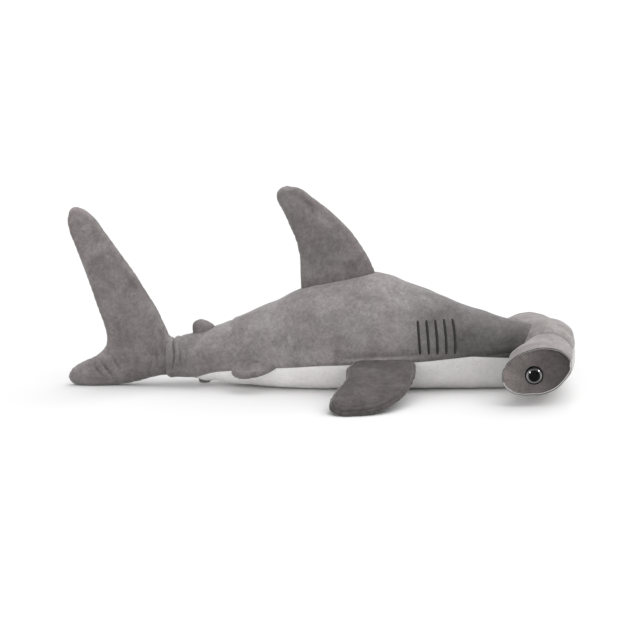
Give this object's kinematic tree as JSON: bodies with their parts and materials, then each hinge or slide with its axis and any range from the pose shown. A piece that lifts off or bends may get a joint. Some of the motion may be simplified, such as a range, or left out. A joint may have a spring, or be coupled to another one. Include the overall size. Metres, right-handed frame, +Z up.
{
  "type": "plush hammerhead shark",
  "caption": "Soft toy hammerhead shark of grey and white short-pile plush, stuffed, with sewn flexing fins, tail and head and plastic safety eyes.",
  "frame": {"origin": "middle of the outline box, on the surface that the shark lies on", "axes": "+X from the tail to the head, +Y to the shark's left, +Z up"},
  "size_m": [0.5083, 0.2514, 0.2005],
  "materials": {
    "grey_plush": "warm grey short-pile plush, matt",
    "white_plush": "off-white short-pile plush, matt",
    "stuffing": "white polyester fibre",
    "gill_thread": "dark satin-stitch embroidery thread",
    "eye_dome": "clear over black, glossy",
    "eye_backing": "silver-grey iris ring on black plastic",
    "eye_washer": "white moulded plastic"
  },
  "bodies": {
    "trunk": {"back_panel_left": "grey_plush", "back_panel_right": "grey_plush", "belly_panel": "white_plush", "body_stuffing": "stuffing", "gill_stitches_left": "gill_thread", "gill_stitches_right": "gill_thread"},
    "tail_stock": {"tail_stock_back_panel_left": "grey_plush", "tail_stock_back_panel_right": "grey_plush", "tail_stock_belly_panel": "white_plush", "tail_stock_stuffing": "stuffing"},
    "tail_fin": {"tail_fin_panel_left": "grey_plush", "tail_fin_panel_right": "grey_plush", "tail_fin_stuffing": "stuffing"},
    "head": {"head_top_panel": "grey_plush", "head_bottom_panel": "white_plush", "head_end_panel_left": "grey_plush", "head_end_panel_right": "grey_plush", "head_stuffing": "stuffing", "eye_post_left": "eye_backing", "eye_post_right": "eye_backing", "eye_dome_left": "eye_dome", "eye_dome_right": "eye_dome", "eye_washer_left": "eye_washer", "eye_washer_right": "eye_washer"},
    "dorsal_fin": {"dorsal_fin_panel_left": "grey_plush", "dorsal_fin_panel_right": "grey_plush", "dorsal_fin_stuffing": "stuffing"},
    "second_dorsal_fin": {"second_dorsal_fin_panel_left": "grey_plush", "second_dorsal_fin_panel_right": "grey_plush"},
    "anal_fin": {"anal_fin_panel_left": "grey_plush", "anal_fin_panel_right": "grey_plush"},
    "pectoral_fin_left": {"pectoral_fin_upper_panel_left": "grey_plush", "pectoral_fin_lower_panel_left": "grey_plush", "pectoral_fin_stuffing_left": "stuffing"},
    "pelvic_fin_left": {"pelvic_fin_upper_panel_left": "grey_plush", "pelvic_fin_lower_panel_left": "white_plush"},
    "pectoral_fin_right": {"pectoral_fin_upper_panel_right": "grey_plush", "pectoral_fin_lower_panel_right": "grey_plush", "pectoral_fin_stuffing_right": "stuffing"},
    "pelvic_fin_right": {"pelvic_fin_upper_panel_right": "grey_plush", "pelvic_fin_lower_panel_right": "white_plush"}
  },
  "joints": [
    {"name": "tail_bend", "type": "hinge", "parent": "trunk", "child": "tail_stock", "pos_m": [-0.092, 0, 0.033], "axis": [0, 0, 1], "range_deg": [-20, 20], "stiffness_Nm_per_rad": 0.6},
    {"name": "tail_fin_swing", "type": "hinge", "parent": "tail_stock", "child": "tail_fin", "pos_m": [-0.15, 0, 0.028], "axis": [0, 0, 1], "range_deg": [-35, 35], "stiffness_Nm_per_rad": 0.35},
    {"name": "head_nod", "type": "hinge", "parent": "trunk", "child": "head", "pos_m": [0.198, 0, 0.033], "axis": [0, 1, 0], "range_deg": [-12, 12], "stiffness_Nm_per_rad": 1.5},
    {"name": "dorsal_fin_lean", "type": "hinge", "parent": "trunk", "child": "dorsal_fin", "pos_m": [0.018, 0, 0.11675], "axis": [0.975, 0, 0.2222], "range_deg": [-40, 40], "stiffness_Nm_per_rad": 0.25},
    {"name": "second_dorsal_fin_lean", "type": "hinge", "parent": "tail_stock", "child": "second_dorsal_fin", "pos_m": [-0.116, 0, 0.06125], "axis": [0.9627, 0, 0.2705], "range_deg": [-40, 40], "stiffness_Nm_per_rad": 0.02},
    {"name": "anal_fin_lean", "type": "hinge", "parent": "tail_stock", "child": "anal_fin", "pos_m": [-0.11375, 0, 0.0048], "axis": [0.9999, 0, -0.0138], "range_deg": [-35, 35], "stiffness_Nm_per_rad": 0.01},
    {"name": "pectoral_fin_right_flap", "type": "hinge", "parent": "trunk", "child": "pectoral_fin_right", "pos_m": [0.0635, -0.0555, 0.0305], "axis": [-0.9984, -0.0475, -0.0317], "range_deg": [-30, 55], "stiffness_Nm_per_rad": 0.5},
    {"name": "pectoral_fin_left_flap", "type": "hinge", "parent": "trunk", "child": "pectoral_fin_left", "pos_m": [0.0635, 0.0555, 0.0305], "axis": [0.9984, -0.0475, 0.0317], "range_deg": [-30, 55], "stiffness_Nm_per_rad": 0.5},
    {"name": "pelvic_fin_right_flap", "type": "hinge", "parent": "trunk", "child": "pelvic_fin_right", "pos_m": [-0.063, -0.03625, 0.024], "axis": [-0.977, 0.2076, -0.0488], "range_deg": [-20, 45], "stiffness_Nm_per_rad": 0.03},
    {"name": "pelvic_fin_left_flap", "type": "hinge", "parent": "trunk", "child": "pelvic_fin_left", "pos_m": [-0.063, 0.03625, 0.024], "axis": [0.977, 0.2076, 0.0488], "range_deg": [-20, 45], "stiffness_Nm_per_rad": 0.03}
  ]
}
